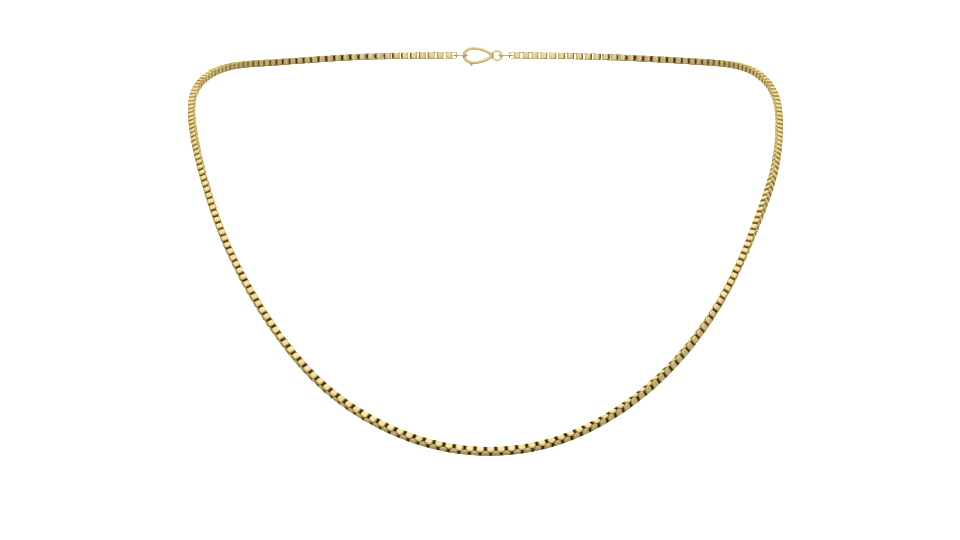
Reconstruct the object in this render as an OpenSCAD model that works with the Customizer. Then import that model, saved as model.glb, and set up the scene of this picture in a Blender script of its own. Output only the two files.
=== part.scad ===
// Box chain necklace, closed at the nape by a lobster clasp. Lengths are in millimetres.
// Origin: inner side of the clasp's middle, against the nape. +Z up, -Y towards the front drop.

/* [Chain] */
// Outer length of a box link, along the chain
link_l = 1.62; // [1.55:0.01:1.68]
// Outer height of a box link, across the chain
link_h = 1.65; // [1.55:0.01:1.75]
// Thickness of the strip that the links are bent from
strip_t = 0.28; // [0.24:0.01:0.3]
// Inner radius of a link's bends
bend_in = 0.04; // [0.02:0.01:0.08]
// Radius of the chain's four long rounded corners
corner_r = 0.475; // [0.42:0.005:0.55]
// Degrees by which the middle of a link's plate reaches past the corner's diagonal
plate_swell = 24; // [0:1:26]
// Half of the length over which a plate is swollen in full
swell_half = 0.12; // [0.06:0.01:0.14]
// Side play of a link's wall inside the next link
link_play = 0.08; // [0.06:0.005:0.1]
// Clear space between two links where they meet at a corner
corner_seam = 0.08; // [0.05:0.01:0.1]

/* [Rings] */
// Outer diameter of the rings on either side of the clasp
ring_od = 3.4; // [3.2:0.1:4.2]
// Wire diameter of those rings
ring_wire = 0.45; // [0.35:0.05:0.5]
// Clear space between pieces that hang on each other
fit_gap = 0.1; // [0.08:0.01:0.12]

/* [Clasp] */
// Length of the clasp over its hook and its eye
clasp_l = 9; // [8:0.5:11]
// Width of the clasp's loop
clasp_w = 4.2; // [3.8:0.1:5]
// Thickness of the clasp, front to back
clasp_t = 1.4; // [1.1:0.1:1.6]
// Width of the metal round the clasp's loop
clasp_wall = 0.9; // [0.7:0.05:1]
// How much narrower the loop is at its eye end, as a share of its width
clasp_taper = 0.35; // [0.2:0.05:0.4]
// Diameter of the hole in the clasp's eye
eye_hole = 1.3; // [1.1:0.1:1.6]
// Diameter of the wire round that hole
eye_wire = 0.7; // [0.55:0.05:0.85]
// Radius of the thumb nub on the clasp's lever side
nub_r = 0.4; // [0.3:0.05:0.5]

/* [Hidden] */
gold = [0.87, 0.72, 0.40];
round_fn = 48;

// A link's wall is narrow enough to stand inside the next link; its plates wrap round the corners
link_hole_h = link_h - 2 * strip_t;
wall_half = link_hole_h / 2 - link_play;
wall_chamfer = strip_t / 4;
flat_half = link_h / 2 - corner_r;
edge_turn = 45 - corner_seam / 2 / corner_r * 180 / PI;
bend_out = bend_in + strip_t;
bend_x = link_l / 2 - bend_out;
bend_z = link_h / 2 - bend_out;
bend_steps = 2;

// Everything at the nape is centred on this line, a ring's radius from the skin
axis_y = ring_od / 2;
ring_r = (ring_od - ring_wire) / 2;
ring_in = ring_od / 2 - ring_wire;

// The clasp's loop, as its centre line, and its eye
loop_x0 = -clasp_l / 2 + clasp_wall / 2;
eye_x = clasp_l / 2 - eye_wire - eye_hole / 2;
eye_r = (eye_hole + eye_wire) / 2;
loop_x1 = eye_x - eye_r - eye_wire / 4;
loop_peak = 1 + clasp_taper * 0.3;
loop_half_w = (clasp_w - clasp_wall) / 2 / loop_peak;
loop_steps = 40;
loop_sides = 12;
nub_turn = -62;

// A ring's wire lies against the inside of the hook, and another against the inside of the eye
end_ring_x = -clasp_l / 2 + clasp_wall + fit_gap + ring_wire / 2 - ring_r;
clasp_ring_x = eye_x + eye_hole / 2 - fit_gap - ring_wire / 2 + ring_r;

// An end link's wall stands inside its ring, as far out as its width allows
wall_reach = sqrt(pow(ring_in - fit_gap, 2) - pow(wall_half, 2));
left_link_x = end_ring_x - wall_reach + strip_t - link_l / 2;
right_link_x = clasp_ring_x + wall_reach - strip_t + link_l / 2;

// Route of the chain: x, y, z and roll in degrees, seen from the front from the left of the nape
// down to the front and up to the right of the nape
route = [
    [-29.5, -3, -0.5, 90],
    [-46, -14.5, -2.5, 92],
    [-55, -31, -3.5, 98],
    [-60.5, -48.5, -9, 100],
    [-59, -66, -17.5, 55],
    [-56.5, -82, -25.5, 59],
    [-52, -97, -38, 67],
    [-46, -109.5, -49.5, 57],
    [-37, -122, -62.5, 49],
    [-26, -131, -73, 41],
    [-8.5, -137.5, -81, 44],
    [11, -136.5, -81, 37],
    [27.5, -129.5, -73, 78],
    [39.5, -119.5, -62, 108],
    [48, -107, -50, 147],
    [53.5, -93.5, -38.5, 166],
    [58.5, -78.5, -27.5, 222],
    [60.5, -62, -19, 247],
    [61.5, -44.5, -10, 274],
    [57, -28, -3.5, 272],
    [47.5, -10.5, -2, 270],
    [30, -1, -0.5, 270]
];

// Straight leads at the nape start the route at each end link's middle
lead = 6;
left_roll = 90;
right_roll = 270;
function lead_points(x, roll) = [for (k = [1, 0, -1]) [x + k * lead, axis_y, 0, roll]];
control = concat(lead_points(left_link_x, left_roll), route, lead_points(right_link_x, right_roll));
spans = len(control) - 3;

// Smooth curve through the route, a cubic B-spline with one span after each control point
function weights(u) =
    [pow(1 - u, 3), 3 * pow(u, 3) - 6 * pow(u, 2) + 4, -3 * pow(u, 3) + 3 * pow(u, 2) + 3 * u + 1, pow(u, 3)] / 6;
function slopes(u) = [-pow(1 - u, 2), 3 * u * u - 4 * u, -3 * u * u + 2 * u + 1, u * u] / 2;
function four(i) = [for (k = [0:3]) control[i + k]];
function spot(i, u) = weights(u) * four(i);
function xyz(v) = [v[0], v[1], v[2]];
function unit(v) = v / norm(v);
function heading(i, u) = unit(xyz(slopes(u) * four(i)));

// The tube that the links fill: a square whose corners are cut where the links' corners are round
tube_step = 5.8;
tube_end = (link_l / 2 + fit_gap) / lead;
big = link_h / 2;
small = big - corner_r * (2 - sqrt(2));
tube_section = [
    [big, small], [small, big], [-small, big], [-big, small],
    [-big, -small], [-small, -big], [small, -big], [big, -small]
];
function tube_ring(i, u) =
    let (
        s = spot(i, u),
        along = heading(i, u),
        up = unit([0, 0, 1] - along * along[2]),
        out = cross(along, up),
        face = cos(s[3]) * out + sin(s[3]) * up,
        side = sin(s[3]) * out - cos(s[3]) * up
    )
    [for (c = tube_section) xyz(s) + c[0] * face + c[1] * side];
function span_rings(i) =
    let (n = max(1, round(norm(xyz(spot(i, 1)) - xyz(spot(i, 0))) / tube_step)))
    [for (k = [1:n]) if (i < spans - 1 || k < n) tube_ring(i, k / n)];
tube_rings = concat(
    [tube_ring(0, tube_end)],
    [for (i = [0:spans - 1]) each span_rings(i)],
    [tube_ring(spans - 1, 1 - tube_end)]
);

// One ring of the clasp's loop, at turn a from the hook's end
function loop_spot(a) = [
    (loop_x0 + loop_x1) / 2 - (loop_x1 - loop_x0) / 2 * cos(a),
    axis_y,
    loop_half_w * sin(a) * (1 + clasp_taper * cos(a))
];
function loop_out(a) =
    let (d = loop_spot(a + 1) - loop_spot(a - 1))
    unit([-d[2], 0, d[0]]);
function loop_ring(a) =
    [for (k = [0:loop_sides - 1])
        let (b = 360 * k / loop_sides)
        loop_spot(a) + clasp_wall / 2 * cos(b) * loop_out(a) - [0, clasp_t / 2 * sin(b), 0]];

// Skin over a row of rings with as many points each; a closed row has no end faces
module skin(rings, closed = false) {
    n = len(rings[0]);
    rows = len(rings);
    last = closed ? rows - 1 : rows - 2;
    polyhedron(
        points = [for (r = rings) each r],
        faces = concat(
            [for (i = [0:last], j = [0:n - 1]) [i * n + j, (i + 1) % rows * n + j, (i + 1) % rows * n + (j + 1) % n]],
            [for (i = [0:last], j = [0:n - 1]) [i * n + j, (i + 1) % rows * n + (j + 1) % n, i * n + (j + 1) % n]],
            closed ? [] : [[for (j = [0:n - 1]) j], [for (j = [n - 1:-1:0]) (rows - 1) * n + j]]
        ),
        convexity = 10
    );
}

// Half of the strip's section from its inside outwards, as depth under the outside and place across:
// on a plate, whose edge lies at that turn round the chain's corner, and on a wall
function plate_half(edge) = [
    [strip_t, link_hole_h / 2 - corner_seam / 2],
    for (turn = [edge, edge / 2, 0]) [corner_r * (1 - cos(turn)), flat_half + corner_r * sin(turn)]
];
wall_section_half = [[strip_t, wall_half], [wall_chamfer, wall_half], [0, wall_half - wall_chamfer], [0, flat_half]];

// One ring of a link's strip, at turn a round the link
function link_ring(x, z, a, swell) =
    let (
        wide = pow(sin(a), 2),
        half = wide * plate_half(edge_turn + swell) + (1 - wide) * wall_section_half,
        section = concat([for (c = half) [c[0], -c[1]]], [for (i = [len(half) - 1:-1:0]) half[i]])
    )
    [for (c = section) [x + (bend_out - c[0]) * cos(a), c[1], z + (bend_out - c[0]) * sin(a)]];

// The strip round a link: four bends, and the swollen middle of the plate after every second one
link_rings = [for (bend = [0:3])
    let (x = bend_x * (bend == 0 || bend == 3 ? 1 : -1), z = bend_z * (bend < 2 ? 1 : -1))
    each [
        for (k = [0:bend_steps]) link_ring(x, z, 90 * (bend + k / bend_steps), 0),
        if (bend % 2 == 0) for (end = [1, -1]) link_ring(sign(x) * end * swell_half, z, 90 * (bend + 1), plate_swell)
    ]
];

// The same strip bent into a box that all links share, with its open side along Y
module box_link(x) {
    translate([x, axis_y, 0]) skin(link_rings, closed = true);
}

// Round ring of wire lying flat, so that clasp and end link hang in it upright
module flat_ring(x) {
    translate([x, axis_y, 0])
        rotate_extrude($fn = round_fn)
            translate([ring_r, 0]) circle(d = ring_wire, $fn = round_fn);
}

module chain() {
    color(gold) skin(tube_rings);
}

module end_link_left() {
    color(gold) box_link(left_link_x);
}

module end_link_right() {
    color(gold) box_link(right_link_x);
}

module end_ring() {
    color(gold) flat_ring(end_ring_x);
}

module clasp_ring() {
    color(gold) flat_ring(clasp_ring_x);
}

module clasp() {
    color(gold) {
        skin([for (k = [0:loop_steps - 1]) loop_ring(360 * k / loop_steps)], closed = true);
        translate([eye_x, axis_y, 0]) rotate([90, 0, 0])
            rotate_extrude($fn = round_fn)
                translate([eye_r, 0]) circle(d = eye_wire, $fn = round_fn);
        translate(loop_spot(nub_turn) + clasp_wall / 2 * loop_out(nub_turn))
            sphere(nub_r, $fn = round_fn);
    }
}

chain();
end_link_left();
end_link_right();
end_ring();
clasp_ring();
clasp();
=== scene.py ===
"""Looks of a box chain necklace: its interlocking links, rings, clasp, golds, light and camera."""

import math

import bmesh
import bpy
from mathutils import Matrix, Vector


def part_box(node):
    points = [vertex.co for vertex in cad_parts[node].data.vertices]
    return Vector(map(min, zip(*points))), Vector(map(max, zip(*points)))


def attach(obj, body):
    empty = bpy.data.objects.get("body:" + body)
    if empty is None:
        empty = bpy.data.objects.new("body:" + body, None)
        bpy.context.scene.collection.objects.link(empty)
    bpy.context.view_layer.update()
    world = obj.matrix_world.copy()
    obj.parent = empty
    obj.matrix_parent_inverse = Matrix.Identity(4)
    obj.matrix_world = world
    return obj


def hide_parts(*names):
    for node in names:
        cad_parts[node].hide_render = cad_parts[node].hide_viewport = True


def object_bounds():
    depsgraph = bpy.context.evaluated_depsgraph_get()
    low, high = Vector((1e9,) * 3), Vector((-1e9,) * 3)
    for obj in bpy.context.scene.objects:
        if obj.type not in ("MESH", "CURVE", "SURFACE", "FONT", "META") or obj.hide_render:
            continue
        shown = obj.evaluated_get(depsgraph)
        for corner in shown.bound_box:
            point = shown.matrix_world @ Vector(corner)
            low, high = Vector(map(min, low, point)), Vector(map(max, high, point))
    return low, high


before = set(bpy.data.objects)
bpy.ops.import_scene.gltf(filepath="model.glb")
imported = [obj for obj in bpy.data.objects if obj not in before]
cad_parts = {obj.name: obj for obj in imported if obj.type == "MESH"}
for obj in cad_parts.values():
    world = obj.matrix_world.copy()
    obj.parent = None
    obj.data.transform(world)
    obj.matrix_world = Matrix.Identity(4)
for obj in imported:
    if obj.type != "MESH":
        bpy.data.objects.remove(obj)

bl_info = {
    "name": "Box Chain Necklace",
    "version": (1, 0, 0),
    "blender": (4, 5, 0),
    "location": "View3D > Sidebar > Necklace",
    "description": "Dresses a box chain necklace with real links, rings, a clasp and polished gold",
    "category": "Object",
}

CAD_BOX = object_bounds()
BODY = "root"
LINK_FINISH = "polished_link_gold"
CLASP_FINISH = "polished_clasp_gold"
MM = 0.001

# Strip of a link: the steps in a bend, on the string and on the larger seen end links, the chamfer
# of an end wall as a share of the thickness, and how much the flat faces rule the shading
STRING_BEND_STEPS = 2
END_LINK_BEND_STEPS = 6
WALL_CHAMFER_SHARE = 0.25
FLAT_FACE_WEIGHT = 90

# Film and painted shade, the brown darkening of the links' hollows and of the gaps between them, on the
# strip's section from its inside outwards: inside corner, cut edge, bend, flat; then on the inside face, on
# the end walls, and how fast the walls' share fades round the bends
SECTION_FILM_AND_SHADE = (1.0, 0.1, 0.02, 0.0)
INSIDE_FILM_AND_SHADE = 1.0
WALL_FILM_AND_SHADE = 0.95
WALL_FILM_AND_SHADE_FADE = 4

# Control points of the chain's route in metres, with their roll in degrees: from the viewer's left
# of the nape down to the front and up to the right of the nape. The places are a least-squares fit
# to the course read off the photo, rounded to half a millimetre. The rolls are set one by one.
ROUTE = (
    (-0.0295, -0.003, -0.0005, 90),
    (-0.046, -0.0145, -0.0025, 92),
    (-0.055, -0.031, -0.0035, 98),
    (-0.0605, -0.0485, -0.009, 100),
    (-0.059, -0.066, -0.0175, 55),
    (-0.0565, -0.082, -0.0255, 59),
    (-0.052, -0.097, -0.038, 67),
    (-0.046, -0.1095, -0.0495, 57),
    (-0.037, -0.122, -0.0625, 49),
    (-0.026, -0.131, -0.073, 41),
    (-0.0085, -0.1375, -0.081, 44),
    (0.011, -0.1365, -0.081, 37),
    (0.0275, -0.1295, -0.073, 78),
    (0.0395, -0.1195, -0.062, 108),
    (0.048, -0.107, -0.05, 147),
    (0.0535, -0.0935, -0.0385, 166),
    (0.0585, -0.0785, -0.0275, 222),
    (0.0605, -0.062, -0.019, 247),
    (0.0615, -0.0445, -0.01, 274),
    (0.057, -0.028, -0.0035, 272),
    (0.0475, -0.0105, -0.002, 270),
    (0.03, -0.001, -0.0005, 270),
)
LEAD = 6 * MM
ROLL_AT_LEFT = 90
ROLL_AT_RIGHT = 270
ROUTE_STEPS = 24

# Golds: clean and worn colour, roughness, and the size of the patches of tone
PALE_GOLD = (0.85, 0.71, 0.38)
WARM_GOLD = (0.74, 0.58, 0.27)
POLISH = 0.17
LINK_PATCH = 6 * MM
CLASP_PATCH = 4 * MM

# Wear: how much finer the handling marks and the grain are than the patches, what the patches and
# a link's own tone add to the drift, what is taken off it, the roughness, and the heights
HANDLING_FINENESS = 9.0
GRAIN_FINENESS = 60.0
PATCH_DRIFT = 0.55
LINK_DRIFT = 0.5
DRIFT_OFF = 0.22
LEAST_WEAR = 0.55
WEAR_SPAN = 0.9
HANDLING_HEIGHT = 0.6
GRAIN_HEIGHT = 0.4
BUMP_STRENGTH = 0.25
BUMP_DEPTH = 0.02 * MM

# Full film and painted shade: share that shows, added roughness, metal that it covers, gloss before it and
# lost by it
FILM_AND_SHADE_SHARE = 0.97
FILM_AND_SHADE_ROUGHNESS = 0.3
FILM_AND_SHADE_COVER = 0.95
GLOSS = 0.5
FILM_AND_SHADE_GLOSS_LOSS = 0.45

# Rings: steps round the ring and round its wire, each seam's turn in radians, how much slimmer
# the wire is at the seam, and half of the seam's width in radians
RING_TURNS = 96
RING_SIDES = 20
RING_SEAMS = {"end_ring": 2.0, "clasp_ring": 4.6}
SEAM_PINCH = 0.07
SEAM_HALF = 0.05

# Casting of the clasp: reach within which corners merge, voxel, and the smoothing
MERGE_REACH = 0.0005 * MM
CASTING_VOXEL = 0.06 * MM
SOFTEN_SHARE = 0.5
SOFTEN_PASSES = 4

# Floor that turns up into a wall, seen from the side, in metres
FLOOR_NEAR = -3.0
FLOOR_BEND = 2.2
FLOOR_RADIUS = 1.0
FLOOR_STEPS = 16
WALL_TOP = 3.0
FLOOR_HALF_WIDTH = 4.0
FLOOR_WHITE = (0.93, 0.93, 0.92)
FLOOR_ROUGHNESS = 0.9

# Lights and camera, in metres
NECKLACE_MIDDLE = (0, -0.07, -0.04)
FLOOR_LIGHT_PLACE = (0, 0, 1.6)
FLOOR_LIGHT_SIZE = 2.4
WALL_LIGHT_PLACE = (0, 1.2, 1.6)
WALL_LIGHT_AIM = (0, 3.2, 0.3)
WALL_LIGHT_SIZE = 1.2
CAMERA_PLACE = (-0.56 * MM, -978.4 * MM, -46.75 * MM)
SENSOR_WIDTH = 36.0
NEAREST_SEEN = 0.01
FARTHEST_SEEN = 50

# Surround, by the parts of a direction of length 1: where each change starts and ends
BAND_EDGE = (0.15, 0.45)
BACK_EDGE = (0.0, 0.5)
SIDE_EDGE = (0.35, 0.9)
GROUND_EDGE = (0.1, -1.0)
GROUND_TURN = (-0.1, 0.5)
GROUND_POWER_IN_FRONT = 3.0
GROUND_POWER_BEHIND = 0.7
SURROUND_TINT = (1.0, 0.995, 0.985, 1)


def box_middle(node):
    """Middle of a CAD node's box."""
    low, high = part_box(node)
    return (low + high) / 2


def box_size(node):
    """Extents of a CAD node's box."""
    low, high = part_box(node)
    return high - low


LINK_BOX = box_size("end_link_left")
RING_BOX = box_size("end_ring")


class NecklaceLinks(bpy.types.PropertyGroup):
    """Sizes of the box links and how they lie."""

    length: bpy.props.FloatProperty(
        name="Link Length", description="Outer length of a link along the chain",
        default=LINK_BOX.x, unit="LENGTH", precision=5)
    height: bpy.props.FloatProperty(
        name="Link Height", description="Outer height of a link across the chain",
        default=LINK_BOX.z, unit="LENGTH", precision=5)
    thickness: bpy.props.FloatProperty(
        name="Strip Thickness", description="Thickness of the strip that a link is bent from",
        default=0.28 * MM, unit="LENGTH", precision=6)
    bend: bpy.props.FloatProperty(
        name="Bend Radius", description="Inner radius of a link's bends",
        default=0.04 * MM, unit="LENGTH", precision=6)
    corner: bpy.props.FloatProperty(
        name="Corner Radius", description="Radius of the chain's four long rounded corners",
        default=0.475 * MM, unit="LENGTH", precision=6)
    swell: bpy.props.FloatProperty(
        name="Plate Swell", description="How far the middle of a plate reaches past the corner's diagonal",
        default=math.radians(24), subtype="ANGLE")
    swell_half: bpy.props.FloatProperty(
        name="Swell Half Length", description="Half of the length over which a plate is swollen in full",
        default=0.12 * MM, unit="LENGTH", precision=6)
    seam: bpy.props.FloatProperty(
        name="Corner Seam", description="Clear space between two links where they meet at a corner",
        default=0.08 * MM, unit="LENGTH", precision=6)
    play: bpy.props.FloatProperty(
        name="Side Play", description="Room on either side of a link's wall inside the next link",
        default=0.08 * MM, unit="LENGTH", precision=6)
    pitch: bpy.props.FloatProperty(
        name="Link Pitch", description="Wanted distance from each link to the next",
        default=0.977 * MM, unit="LENGTH", precision=6)
    sway: bpy.props.FloatProperty(
        name="Sway", description="Largest angle that a link leans out of line",
        default=math.radians(2.2), subtype="ANGLE")
    seed: bpy.props.IntProperty(
        name="Seed", description="Seed of the sway and of the tone from link to link", default=7)


class NecklaceGold(bpy.types.PropertyGroup):
    """Colours of the golds."""

    pale: bpy.props.FloatVectorProperty(
        name="Pale Gold", description="Clean gold on the outer faces",
        subtype="COLOR", size=3, min=0, max=1, default=PALE_GOLD)
    warm: bpy.props.FloatVectorProperty(
        name="Warm Gold", description="Gold of the redder and more worn patches",
        subtype="COLOR", size=3, min=0, max=1, default=WARM_GOLD)
    # Painted shade with brown film: the colour that darkens the links' hollows and the gaps between them
    film_and_shade: bpy.props.FloatVectorProperty(
        name="Film",
        description="Share of the light that the full brown film inside the links lets through",
        subtype="COLOR", size=3, min=0, max=1, default=(0.12, 0.053, 0.001))
    # Brown tint of the shine in the same places: painted shade on the reflections
    film_and_shade_shine: bpy.props.FloatVectorProperty(
        name="Film Shine", description="Tint of the shine on the film",
        subtype="COLOR", size=3, min=0, max=1, default=(0.5, 0.27, 0.02))
    edge: bpy.props.FloatVectorProperty(
        name="Edge Tint", description="Tint of the gold where it is seen at a flat angle",
        subtype="COLOR", size=3, min=0, max=1, default=(1.0, 0.94, 0.6))
    polish: bpy.props.FloatProperty(
        name="Roughness", description="Roughness of the polished faces",
        default=POLISH, min=0, max=1, subtype="FACTOR")


class NecklaceStage(bpy.types.PropertyGroup):
    """Floor, light and camera."""

    drop: bpy.props.FloatProperty(
        name="Floor Drop", description="Height of the lowest link over the floor",
        default=0.06, unit="LENGTH")
    front_glow: bpy.props.FloatProperty(
        name="Front Glow", description="Brightness of the room on the camera's side", default=1.0)
    back_glow: bpy.props.FloatProperty(
        name="Back Glow", description="Brightness behind, over and under the level band", default=1.05)
    band_glow: bpy.props.FloatProperty(
        name="Band Glow", description="Brightness of the level band behind", default=1.0)
    side_glow: bpy.props.FloatProperty(
        name="Side Glow", description="Share of the glow that is left at both sides", default=0.6)
    ground_glow: bpy.props.FloatProperty(
        name="Ground Glow", description="Share of the glow that is left straight below", default=0.36)
    wall_light: bpy.props.FloatProperty(
        name="Wall Light", description="Power of the light on the wall behind", default=120.0, unit="POWER")
    floor_light: bpy.props.FloatProperty(
        name="Floor Light", description="Power of the soft light overhead", default=3.0, unit="POWER")
    lens: bpy.props.FloatProperty(
        name="Lens", description="Focal length in millimetres on a 36 mm sensor", default=168.75)


def plain_mesh(name, points, faces, material):
    """New smooth-shaded mesh object at the origin from points and faces."""
    mesh = bpy.data.meshes.new(name)
    mesh.from_pydata([tuple(p) for p in points], [], faces)
    mesh.validate()
    mesh.materials.append(material)
    mesh.shade_smooth()
    obj = bpy.data.objects.new(name, mesh)
    bpy.context.scene.collection.objects.link(obj)
    return obj


def evaluated_copy(obj, name):
    """Plain mesh object with obj's modifiers applied; obj itself is removed."""
    bpy.context.view_layer.update()
    graph = bpy.context.evaluated_depsgraph_get()
    mesh = bpy.data.meshes.new_from_object(
        obj.evaluated_get(graph), preserve_all_data_layers=True, depsgraph=graph)
    if not mesh.polygons:
        raise RuntimeError(f"{name}: the modifiers made no faces")
    mesh.name = name
    bpy.data.objects.remove(obj)
    made = bpy.data.objects.new(name, mesh)
    bpy.context.scene.collection.objects.link(made)
    return made


def even_normals(obj):
    """Shades flat faces flat and lets only the bends and bevels turn."""
    weighted = obj.modifiers.new("even_normals", "WEIGHTED_NORMAL")
    weighted.mode = "FACE_AREA_WITH_ANGLE"
    weighted.weight = FLAT_FACE_WEIGHT
    return evaluated_copy(obj, obj.name)


def new_input(tree, name, kind, default=None, description=""):
    """Named input on a node tree's interface."""
    socket = tree.interface.new_socket(
        name=name, in_out="INPUT", socket_type=kind, description=description)
    if default is not None:
        socket.default_value = default
    return socket


def new_output(tree, name, kind):
    """Named output on a node tree's interface."""
    return tree.interface.new_socket(name=name, in_out="OUTPUT", socket_type=kind)


class Wiring:
    """Adds nodes to a tree and links them by socket name."""

    def __init__(self, tree):
        self.tree = tree

    def add(self, kind, settings=None, **inputs):
        """New node; an underscore in an input's name stands for a space."""
        node = self.tree.nodes.new(kind)
        for key, value in (settings or {}).items():
            setattr(node, key, value)
        for key, value in inputs.items():
            self.feed(node, key.replace("_", " "), value)
        return node

    def feed(self, node, key, value):
        """Links or sets the input of that name or number."""
        if isinstance(key, str):
            socket = next(s for s in node.inputs if s.name.lower() == key.lower() and s.enabled)
        else:
            socket = node.inputs[key]
        if isinstance(value, bpy.types.NodeSocket):
            self.tree.links.new(value, socket)
        else:
            socket.default_value = value

    def math(self, operation, a, b=None, clamp=False):
        """Result of an operation on one or two values or sockets."""
        node = self.tree.nodes.new("ShaderNodeMath")
        node.operation = operation
        node.use_clamp = clamp
        self.feed(node, 0, a)
        if b is not None:
            self.feed(node, 1, b)
        return node.outputs[0]

    def mix(self, factor, a, b, blend="MIX"):
        """Colour that goes from a to b; a mix node's colours are its inputs 6 and 7 and output 2."""
        node = self.add("ShaderNodeMix", {"data_type": "RGBA", "blend_type": blend})
        self.feed(node, 0, factor)
        self.feed(node, 6, a)
        self.feed(node, 7, b)
        return node.outputs[2]

    def ease(self, value, edge, start, end):
        """Goes smoothly from start to end while the value crosses the edge."""
        node = self.add(
            "ShaderNodeMapRange", {"interpolation_type": "SMOOTHSTEP"},
            Value=value, From_Min=edge[0], From_Max=edge[1], To_Min=start, To_Max=end)
        return node.outputs["Result"]


def strip_section(links, wide, swell):
    """Corners of the strip's section, going round it, as depth under the outside and place across.

    wide is 1 on a plate, which wraps round the chain's corners, and 0 on an end wall. swell is how
    far the plate's edge turns past the corner's diagonal.
    """
    flat = links.height / 2 - links.corner
    hole = links.height / 2 - links.thickness
    wall = hole - links.play
    chamfer = links.thickness * WALL_CHAMFER_SHARE
    edge = math.pi / 4 - links.seam / 2 / links.corner + swell
    plate_half = [(links.thickness, hole - links.seam / 2)] + [
        (links.corner * (1 - math.cos(turn)), flat + links.corner * math.sin(turn))
        for turn in (edge, edge / 2, 0)]
    wall_half = [(links.thickness, wall), (chamfer, wall), (0, wall - chamfer), (0, flat)]
    half = [(a[0] * wide + b[0] * (1 - wide), a[1] * wide + b[1] * (1 - wide))
            for a, b in zip(plate_half, wall_half)]
    return half + [(depth, -side) for depth, side in reversed(half)]


def link_mesh(name, links, bend_steps):
    """One strip bent into a box loop in the XZ plane, its open side along Y, centred on the origin.

    A float attribute on the face corners says how much brown film and painted shade a face keeps: none on
    the plates, more towards the cut edges and on the end walls, and most on the inside, where the links
    shade each other.
    """
    outside = links.bend + links.thickness
    reach_x, reach_z = links.length / 2 - outside, links.height / 2 - outside
    stations = []
    for corner in range(4):
        cx = reach_x * (1 if corner in (0, 3) else -1)
        cz = reach_z * (1 if corner in (0, 1) else -1)
        for step in range(bend_steps + 1):
            turn = math.pi / 2 * (corner + step / bend_steps)
            # End walls sit inside the next link: they get film and painted shade, fading out round the
            # bends
            stations.append((cx, cz, turn, 0, WALL_FILM_AND_SHADE * math.cos(turn) ** WALL_FILM_AND_SHADE_FADE))
        if corner in (0, 2):
            for x in (links.swell_half, -links.swell_half):
                x_along = math.copysign(1, cx) * x
                stations.append((x_along, cz, math.pi / 2 * (corner + 1), links.swell, 0))
    points = [
        (cx + (outside - depth) * math.cos(turn), side, cz + (outside - depth) * math.sin(turn))
        for cx, cz, turn, swell, film_and_shade in stations
        for depth, side in strip_section(links, math.sin(turn) ** 2, swell)]
    across = SECTION_FILM_AND_SHADE + SECTION_FILM_AND_SHADE[::-1]
    n, rows = len(across), len(stations)
    faces, inner = [], []
    for i in range(rows):
        for j in range(n):
            k, m = (i + 1) % rows, (j + 1) % n
            faces.append((i * n + j, k * n + j, k * n + m, i * n + m))
            for station, corner in ((i, j), (k, j), (k, m), (i, m)):
                # The strip's inside face gets the full film and painted shade; the other faces take it from
                # the section
                film_and_shade = INSIDE_FILM_AND_SHADE if j == n - 1 else across[corner]
                inner.append(max(film_and_shade, stations[station][4]))
    obj = plain_mesh(name, points, faces, bpy.data.materials[LINK_FINISH])
    marks = obj.data.attributes.new("inner", "FLOAT", "CORNER")
    marks.data.foreach_set("value", inner)
    return obj


def route_curve():
    """The chain's route as a cubic NURBS curve whose tilt carries the roll."""
    left, right = box_middle("end_link_left"), box_middle("end_link_right")
    start = [(left.x + k * LEAD, left.y, left.z, ROLL_AT_LEFT) for k in (1, 0, -1)]
    end = [(right.x + k * LEAD, right.y, right.z, ROLL_AT_RIGHT) for k in (1, 0, -1)]
    stops = [*start, *ROUTE, *end]
    curve = bpy.data.curves.new("chain_route", "CURVE")
    curve.dimensions = "3D"
    curve.twist_mode = "Z_UP"
    curve.resolution_u = ROUTE_STEPS
    spline = curve.splines.new("NURBS")
    spline.points.add(len(stops) - 1)
    for point, (x, y, z, roll) in zip(spline.points, stops):
        point.co = (x, y, z, 1)
        point.tilt = -math.radians(roll)
    spline.order_u = 4
    spline.use_endpoint_u = False
    spline.resolution_u = ROUTE_STEPS
    obj = bpy.data.objects.new("chain_route", curve)
    bpy.context.scene.collection.objects.link(obj)
    return obj


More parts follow.
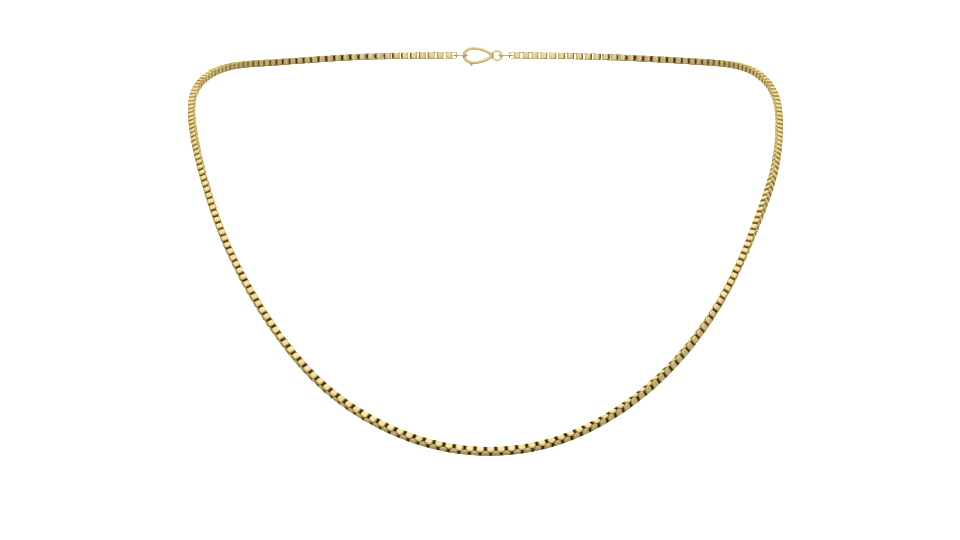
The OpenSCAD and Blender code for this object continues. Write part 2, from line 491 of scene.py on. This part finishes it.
def link_string_tree():
    """Geometry Nodes that hang a string of links, each turned a quarter from the last, on a curve."""
    tree = bpy.data.node_groups.new("link_string", "GeometryNodeTree")
    tree.is_modifier = True
    new_input(tree, "Geometry", "NodeSocketGeometry")
    new_input(tree, "Link", "NodeSocketObject", description="One link, centred on the origin")
    new_input(tree, "Pitch", "NodeSocketFloat", 0.001, "Wanted distance from link to link")
    new_input(tree, "Sway", "NodeSocketFloat", 0.03, "Largest lean of a link, in radians")
    new_input(tree, "Seed", "NodeSocketInt", 0, "Seed of the sway and the tone")
    new_output(tree, "Geometry", "NodeSocketGeometry")
    w = Wiring(tree)
    given = w.add("NodeGroupInput").outputs
    length = w.add("GeometryNodeCurveLength", Curve=given["Geometry"]).outputs["Length"]
    # An even number of steps, so that both end links lie the same way
    pairs = w.math("ROUND", w.math("DIVIDE", length, w.math("MULTIPLY", given["Pitch"], 2.0)))
    count = w.math("ADD", w.math("MULTIPLY", pairs, 2.0), 1.0)
    spots = w.add(
        "GeometryNodeCurveToPoints", {"mode": "COUNT"}, Curve=given["Geometry"], Count=count)
    index = w.add("GeometryNodeInputIndex").outputs["Index"]
    # The first and the last spot belong to the end links
    at_start = w.math("LESS_THAN", index, 0.5)
    at_end = w.math("GREATER_THAN", index, w.math("SUBTRACT", count, 1.5))
    inside = w.add(
        "GeometryNodeDeleteGeometry", {"domain": "POINT"},
        Geometry=spots.outputs["Points"], Selection=w.math("MAXIMUM", at_start, at_end))
    along = w.add(
        "FunctionNodeAxesToRotation", {"primary_axis": "X", "secondary_axis": "Z"},
        Primary_Axis=spots.outputs["Tangent"], Secondary_Axis=spots.outputs["Normal"])
    quarter = w.math("MULTIPLY", w.math("MODULO", w.math("ADD", index, 1.0), 2.0), math.pi / 2)
    quarter_turn = w.add("FunctionNodeAxisAngleToRotation", Axis=(1.0, 0.0, 0.0), Angle=quarter)
    turned = w.add(
        "FunctionNodeRotateRotation", {"rotation_space": "LOCAL"},
        Rotation=along.outputs["Rotation"], Rotate_By=quarter_turn.outputs["Rotation"])
    low = w.math("MULTIPLY", given["Sway"], -1.0)
    lean = w.add(
        "FunctionNodeRandomValue", {"data_type": "FLOAT_VECTOR"}, Seed=given["Seed"])
    w.feed(lean, "Min", w.add("ShaderNodeCombineXYZ", X=low, Y=low, Z=low).outputs[0])
    w.feed(lean, "Max", w.add(
        "ShaderNodeCombineXYZ", X=given["Sway"], Y=given["Sway"], Z=given["Sway"]).outputs[0])
    lean_turn = w.add("FunctionNodeEulerToRotation", Euler=lean.outputs[0])
    swayed = w.add(
        "FunctionNodeRotateRotation", {"rotation_space": "LOCAL"},
        Rotation=turned.outputs["Rotation"], Rotate_By=lean_turn.outputs["Rotation"])
    one = w.add("GeometryNodeObjectInfo", Object=given["Link"], As_Instance=True)
    hung = w.add(
        "GeometryNodeInstanceOnPoints", Points=inside.outputs["Geometry"],
        Instance=one.outputs["Geometry"], Rotation=swayed.outputs["Rotation"])
    tone = w.add(
        "FunctionNodeRandomValue", {"data_type": "FLOAT"}, Seed=w.math("ADD", given["Seed"], 1.0))
    marked = w.add(
        "GeometryNodeStoreNamedAttribute", {"data_type": "FLOAT", "domain": "INSTANCE"},
        Geometry=hung.outputs["Instances"], Name="tone")
    w.feed(marked, "Value", tone.outputs[1])
    real = w.add("GeometryNodeRealizeInstances", Geometry=marked.outputs["Geometry"])
    w.add("NodeGroupOutput", Geometry=real.outputs["Geometry"])
    return tree


def set_modifier_inputs(modifier, values):
    """Sets a Geometry Nodes modifier's inputs by their sockets' identifiers."""
    for item in modifier.node_group.interface.items_tree:
        if item.item_type == "SOCKET" and item.in_out == "INPUT" and item.name in values:
            modifier[item.identifier] = values[item.name]


def worn_gold_group():
    """Shared effect: gold that drifts between two tones, with polish that comes and goes."""
    tree = bpy.data.node_groups.new("worn_gold", "ShaderNodeTree")
    new_input(tree, "Pale", "NodeSocketColor", (*PALE_GOLD, 1))
    new_input(tree, "Warm", "NodeSocketColor", (*WARM_GOLD, 1))
    new_input(tree, "Tone", "NodeSocketFloat", 0.5, "Random tone of this link, 0 to 1")
    new_input(
        tree, "Patch Size", "NodeSocketFloat", LINK_PATCH, "Size of the patches of tone, in metres")
    new_input(tree, "Roughness", "NodeSocketFloat", POLISH)
    new_output(tree, "Colour", "NodeSocketColor")
    new_output(tree, "Roughness", "NodeSocketFloat")
    new_output(tree, "Height", "NodeSocketFloat")
    w = Wiring(tree)
    given = w.add("NodeGroupInput").outputs
    place = w.add("ShaderNodeTexCoord").outputs["Object"]
    patch_scale = w.math("DIVIDE", 1.0, given["Patch Size"])
    handling_scale = w.math("MULTIPLY", patch_scale, HANDLING_FINENESS)
    grain_scale = w.math("MULTIPLY", patch_scale, GRAIN_FINENESS)
    patches = w.add("ShaderNodeTexNoise", Vector=place, Scale=patch_scale, Detail=3.0)
    handled = w.add("ShaderNodeTexNoise", Vector=place, Scale=handling_scale, Detail=4.0)
    grain = w.add("ShaderNodeTexNoise", Vector=place, Scale=grain_scale, Detail=3.0)
    drift = w.math(
        "ADD", w.math("MULTIPLY", patches.outputs[0], PATCH_DRIFT),
        w.math("MULTIPLY", given["Tone"], LINK_DRIFT))
    amount = w.math("SUBTRACT", drift, DRIFT_OFF, clamp=True)
    colour = w.mix(amount, given["Pale"], given["Warm"])
    wear = w.math("ADD", w.math("MULTIPLY", handled.outputs[0], WEAR_SPAN), LEAST_WEAR)
    rough = w.math("MULTIPLY", given["Roughness"], wear)
    height = w.math(
        "ADD", w.math("MULTIPLY", handled.outputs[0], HANDLING_HEIGHT),
        w.math("MULTIPLY", grain.outputs[0], GRAIN_HEIGHT))
    out = w.add("NodeGroupOutput")
    w.feed(out, "Colour", colour)
    w.feed(out, "Roughness", rough)
    w.feed(out, "Height", height)
    return tree


def gold_material(name, gold, marks, patch):
    """Polished gold; where marks is true it reads each link's tone and the brown film and painted shade
    inside it.
    """
    material = bpy.data.materials.new(name)
    material.use_nodes = True
    w = Wiring(material.node_tree)
    shader = material.node_tree.nodes["Principled BSDF"]
    worn = w.add("ShaderNodeGroup", {"node_tree": bpy.data.node_groups["worn_gold"]})
    w.feed(worn, "Pale", (*gold.pale, 1))
    w.feed(worn, "Warm", (*gold.warm, 1))
    w.feed(worn, "Patch Size", patch)
    w.feed(worn, "Roughness", gold.polish)
    colour = worn.outputs["Colour"]
    rough = worn.outputs["Roughness"]
    tint = (*gold.edge, 1)
    metal = 1.0
    if marks:
        tone = w.add("ShaderNodeAttribute", {"attribute_name": "tone"})
        w.feed(worn, "Tone", tone.outputs["Fac"])
        # Painted shade with brown film: by the mask on the faces the gold turns darker, browner, rougher
        # and less metallic inside the links and in the gaps between them
        inner = w.add("ShaderNodeAttribute", {"attribute_name": "inner"})
        film_and_shade = w.math("MULTIPLY", inner.outputs["Fac"], FILM_AND_SHADE_SHARE, clamp=True)
        red, green, blue = (w.math("POWER", share, film_and_shade) for share in gold.film_and_shade)
        let_through = w.add("ShaderNodeCombineColor", Red=red, Green=green, Blue=blue)
        colour = w.mix(1.0, colour, let_through.outputs["Color"], "MULTIPLY")
        # Painted shade on the reflections: the shine's tint turns brown under the mask
        tint = w.mix(film_and_shade, tint, (*gold.film_and_shade_shine, 1))
        rough = w.math("ADD", rough, w.math("MULTIPLY", film_and_shade, FILM_AND_SHADE_ROUGHNESS), clamp=True)
        metal = w.math("SUBTRACT", 1.0, w.math("MULTIPLY", film_and_shade, FILM_AND_SHADE_COVER))
        gloss = w.math("SUBTRACT", GLOSS, w.math("MULTIPLY", film_and_shade, FILM_AND_SHADE_GLOSS_LOSS))
        w.feed(shader, "Specular IOR Level", gloss)
    height = w.add(
        "ShaderNodeBump", Strength=BUMP_STRENGTH, Distance=BUMP_DEPTH, Height=worn.outputs["Height"])
    w.feed(shader, "Base Color", colour)
    w.feed(shader, "Roughness", rough)
    w.feed(shader, "Normal", height.outputs["Normal"])
    w.feed(shader, "Metallic", metal)
    w.feed(shader, "Specular Tint", tint)
    return material


class NECKLACE_OT_golds(bpy.types.Operator):
    """Make the gold materials"""

    bl_idname = "necklace.golds"
    bl_label = "Make Golds"

    def execute(self, context):
        gold = context.scene.necklace_gold
        worn_gold_group()
        gold_material(LINK_FINISH, gold, True, LINK_PATCH)
        gold_material(CLASP_FINISH, gold, False, CLASP_PATCH)
        return {"FINISHED"}


class NECKLACE_OT_links(bpy.types.Operator):
    """Hang the string of box links on its route"""

    bl_idname = "necklace.links"
    bl_label = "Hang Links"

    def execute(self, context):
        links = context.scene.necklace_links
        one = link_mesh("one_link", links, STRING_BEND_STEPS)
        string = route_curve()
        modifier = string.modifiers.new("link_string", "NODES")
        modifier.node_group = link_string_tree()
        set_modifier_inputs(modifier, {
            "Link": one,
            "Pitch": links.pitch,
            "Sway": links.sway,
            "Seed": links.seed,
        })
        chain = even_normals(evaluated_copy(string, "box_links"))
        bpy.data.objects.remove(one)
        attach(chain, BODY)
        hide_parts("chain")
        return {"FINISHED"}


class NECKLACE_OT_end_links(bpy.types.Operator):
    """Make the box link at each end of the string"""

    bl_idname = "necklace.end_links"
    bl_label = "Make End Links"

    def execute(self, context):
        links = context.scene.necklace_links
        for node in ("end_link_left", "end_link_right"):
            piece = link_mesh(node + "_strip", links, END_LINK_BEND_STEPS)
            piece.data.transform(Matrix.Translation(box_middle(node)))
            piece = even_normals(piece)
            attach(piece, BODY)
            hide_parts(node)
        return {"FINISHED"}


def ring_mesh(name, middle, outer, wire, seam):
    """Round wire ring lying flat, with a faint soldered seam at the given turn."""
    turns = RING_TURNS
    sides = RING_SIDES
    radius = (outer - wire) / 2
    points = []
    for i in range(turns):
        a = 2 * math.pi * i / turns
        gap = (a - seam + math.pi) % (2 * math.pi) - math.pi
        thick = wire / 2 * (1 - SEAM_PINCH * math.exp(-(gap / SEAM_HALF) ** 2))
        for j in range(sides):
            b = 2 * math.pi * j / sides
            r = radius + thick * math.cos(b)
            points.append(middle + Vector((r * math.cos(a), r * math.sin(a), thick * math.sin(b))))
    faces = [
        (i * sides + j, (i + 1) % turns * sides + j,
         (i + 1) % turns * sides + (j + 1) % sides, i * sides + (j + 1) % sides)
        for i in range(turns) for j in range(sides)
    ]
    return plain_mesh(name, points, faces, bpy.data.materials[CLASP_FINISH])


class NECKLACE_OT_rings(bpy.types.Operator):
    """Make the rings on either side of the clasp"""

    bl_idname = "necklace.rings"
    bl_label = "Make Rings"

    def execute(self, context):
        for node, seam in RING_SEAMS.items():
            ring = ring_mesh(node + "_wire", box_middle(node), RING_BOX.x, RING_BOX.z, seam)
            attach(ring, BODY)
            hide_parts(node)
        return {"FINISHED"}


def cast_copy(node, name):
    """One smooth casting from a CAD node's merged solids, made at a thousand times its size."""
    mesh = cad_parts[node].data.copy()
    mesh.materials.clear()
    build = bmesh.new()
    build.from_mesh(mesh)
    bmesh.ops.remove_doubles(build, verts=build.verts, dist=MERGE_REACH)
    build.to_mesh(mesh)
    build.free()
    mesh.transform(Matrix.Scale(1 / MM, 4))
    obj = bpy.data.objects.new(name, mesh)
    bpy.context.scene.collection.objects.link(obj)
    remesh = obj.modifiers.new("fuse", "REMESH")
    remesh.mode = "VOXEL"
    remesh.voxel_size = CASTING_VOXEL / MM
    soften = obj.modifiers.new("soften", "SMOOTH")
    soften.factor = SOFTEN_SHARE
    soften.iterations = SOFTEN_PASSES
    obj = evaluated_copy(obj, name)
    obj.data.transform(Matrix.Scale(MM, 4))
    obj.data.shade_smooth()
    return obj


class NECKLACE_OT_clasp(bpy.types.Operator):
    """Make the clasp as one smooth casting"""

    bl_idname = "necklace.clasp"
    bl_label = "Make Clasp"

    def execute(self, context):
        clasp = cast_copy("clasp", "clasp_casting")
        clasp.data.materials.append(bpy.data.materials[CLASP_FINISH])
        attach(clasp, BODY)
        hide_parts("clasp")
        return {"FINISHED"}


def stage_material(name, colour, roughness):
    """Plain matt finish for the floor."""
    material = bpy.data.materials.new(name)
    material.use_nodes = True
    shader = material.node_tree.nodes["Principled BSDF"]
    shader.inputs["Base Color"].default_value = (*colour, 1)
    shader.inputs["Roughness"].default_value = roughness
    return material


def sweep_floor(level):
    """Pale floor that curves up into a wall far behind the necklace."""
    profile = [(FLOOR_NEAR, level), (FLOOR_BEND, level)]
    for step in range(1, FLOOR_STEPS + 1):
        a = math.pi / 2 * step / FLOOR_STEPS
        back = FLOOR_BEND + FLOOR_RADIUS * math.sin(a)
        profile.append((back, level + FLOOR_RADIUS * (1 - math.cos(a))))
    profile.append((FLOOR_BEND + FLOOR_RADIUS, WALL_TOP))
    points = [(x, y, z) for y, z in profile for x in (-FLOOR_HALF_WIDTH, FLOOR_HALF_WIDTH)]
    faces = [(2 * i, 2 * i + 1, 2 * i + 3, 2 * i + 2) for i in range(len(profile) - 1)]
    white = stage_material("floor_white", FLOOR_WHITE, FLOOR_ROUGHNESS)
    floor = plain_mesh("floor", points, faces, white)
    floor.visible_glossy = False


def soft_light(name, place, aim, size, power):
    """Square soft light turned towards a point."""
    light = bpy.data.lights.new(name, "AREA")
    light.size = size
    light.energy = power
    obj = bpy.data.objects.new(name, light)
    obj.location = place
    obj.rotation_euler = (Vector(aim) - Vector(place)).to_track_quat("-Z", "Y").to_euler()
    bpy.context.scene.collection.objects.link(obj)


def pale_surround(stage):
    """World that is bright above and around and dims towards the ground, sooner behind than in front.

    The camera sees it white.
    """
    world = bpy.data.worlds.new("surround")
    bpy.context.scene.world = world
    world.use_nodes = True
    w = Wiring(world.node_tree)
    way = w.add("ShaderNodeTexCoord").outputs["Generated"]
    parts = w.add("ShaderNodeSeparateXYZ", Vector=way)
    level = w.ease(
        w.math("ABSOLUTE", parts.outputs["Z"]), BAND_EDGE, stage.band_glow, stage.back_glow)
    behind = w.ease(parts.outputs["Y"], BACK_EDGE, stage.front_glow, level)
    beside = w.ease(w.math("ABSOLUTE", parts.outputs["X"]), SIDE_EDGE, 1.0, stage.side_glow)
    depth = w.add(
        "ShaderNodeMapRange", Value=parts.outputs["Z"],
        From_Min=GROUND_EDGE[0], From_Max=GROUND_EDGE[1], To_Min=0.0, To_Max=1.0)
    sharpness = w.ease(
        parts.outputs["Y"], GROUND_TURN, GROUND_POWER_IN_FRONT, GROUND_POWER_BEHIND)
    darkness = w.math("POWER", depth.outputs["Result"], sharpness)
    shade = w.math("MULTIPLY", darkness, 1.0 - stage.ground_glow)
    glow = w.math("MULTIPLY", w.math("MULTIPLY", behind, w.math("SUBTRACT", 1.0, shade)), beside)
    seen = w.add("ShaderNodeLightPath").outputs["Is Camera Ray"]
    background = world.node_tree.nodes["Background"]
    w.feed(background, "Strength", w.math("MAXIMUM", glow, seen))
    w.feed(background, "Color", SURROUND_TINT)


def photo_camera(lens):
    """Level camera at the photograph's place."""
    camera = bpy.data.cameras.new("camera")
    camera.lens = lens
    camera.sensor_width = SENSOR_WIDTH
    camera.clip_start = NEAREST_SEEN
    camera.clip_end = FARTHEST_SEEN
    obj = bpy.data.objects.new("camera", camera)
    obj.location = CAMERA_PLACE
    obj.rotation_euler = (math.pi / 2, 0, 0)
    bpy.context.scene.collection.objects.link(obj)
    bpy.context.scene.camera = obj


class NECKLACE_OT_stage(bpy.types.Operator):
    """Set the floor, the soft light and the camera"""

    bl_idname = "necklace.stage"
    bl_label = "Set Stage"

    def execute(self, context):
        stage = context.scene.necklace_stage
        sweep_floor(CAD_BOX[0].z - stage.drop)
        soft_light(
            "floor_light", FLOOR_LIGHT_PLACE, NECKLACE_MIDDLE, FLOOR_LIGHT_SIZE, stage.floor_light)
        soft_light(
            "wall_light", WALL_LIGHT_PLACE, WALL_LIGHT_AIM, WALL_LIGHT_SIZE, stage.wall_light)
        pale_surround(stage)
        photo_camera(stage.lens)
        context.scene.view_settings.view_transform = "Standard"
        return {"FINISHED"}


class NECKLACE_PT_panel(bpy.types.Panel):
    """Sizes, colours and steps of the necklace"""

    bl_idname = "NECKLACE_PT_panel"
    bl_label = "Box Chain Necklace"
    bl_space_type = "VIEW_3D"
    bl_region_type = "UI"
    bl_category = "Necklace"

    def draw(self, context):
        scene = context.scene
        for group in (scene.necklace_links, scene.necklace_gold, scene.necklace_stage):
            box = self.layout.box()
            for name in group.__annotations__:
                box.prop(group, name)
        for operator in STEPS:
            self.layout.operator(operator.bl_idname)


STEPS = (
    NECKLACE_OT_golds,
    NECKLACE_OT_links,
    NECKLACE_OT_end_links,
    NECKLACE_OT_rings,
    NECKLACE_OT_clasp,
    NECKLACE_OT_stage,
)
GROUPS = {
    "necklace_links": NecklaceLinks,
    "necklace_gold": NecklaceGold,
    "necklace_stage": NecklaceStage,
}


def register():
    for group in GROUPS.values():
        bpy.utils.register_class(group)
    for name, group in GROUPS.items():
        setattr(bpy.types.Scene, name, bpy.props.PointerProperty(type=group))
    for step in STEPS:
        bpy.utils.register_class(step)
    bpy.utils.register_class(NECKLACE_PT_panel)


def unregister():
    bpy.utils.unregister_class(NECKLACE_PT_panel)
    for step in reversed(STEPS):
        bpy.utils.unregister_class(step)
    for name, group in reversed(GROUPS.items()):
        delattr(bpy.types.Scene, name)
        bpy.utils.unregister_class(group)


def main():
    """Registers the add-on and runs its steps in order."""
    register()
    bpy.ops.necklace.golds()
    bpy.ops.necklace.links()
    bpy.ops.necklace.end_links()
    bpy.ops.necklace.rings()
    bpy.ops.necklace.clasp()
    bpy.ops.necklace.stage()


if __name__ == "__main__":
    main()
